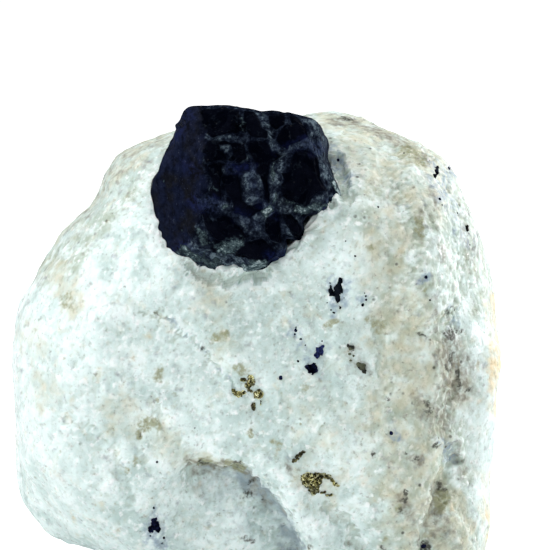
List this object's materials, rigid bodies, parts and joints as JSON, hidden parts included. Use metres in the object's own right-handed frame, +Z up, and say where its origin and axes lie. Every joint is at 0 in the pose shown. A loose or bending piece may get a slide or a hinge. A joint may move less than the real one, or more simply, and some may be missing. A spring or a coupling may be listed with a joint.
{
  "type": "lazurite crystal on marble matrix",
  "caption": "Rounded hand specimen of white marble with a blocky, near-black blue lazurite crystal high on its front, small lazurite grains and pyrite clusters.",
  "frame": {"origin": "centre of the bounding box at the specimen's flat underside", "axes": "+Z up, the crystal's face looks along -Y, +X to the right of a viewer who faces the crystal"},
  "size_m": [0.064, 0.0422, 0.062],
  "materials": {
    "marble": "sugary broken calcite, slightly glistening, with tan and grey stains",
    "lazurite": "near-black blue, satin natural faces and glassy broken ones",
    "pyrite": "metallic, brassy, uneven",
    "diopside": "dark olive, dull"
  },
  "bodies": {
    "root": {"marble_matrix": "marble", "lazurite_crystal": "lazurite", "lazurite_grain_angular": "lazurite", "lazurite_grain_blue": "lazurite", "lazurite_grain_round": "lazurite", "lazurite_grain_low": "lazurite", "lazurite_grain_corner": "lazurite", "lazurite_grain_right": "lazurite", "pyrite_cluster_low": "pyrite", "pyrite_cluster_high": "pyrite", "pyrite_grain": "pyrite", "pyrite_sliver": "pyrite", "diopside_grain": "diopside"}
  },
  "joints": []
}
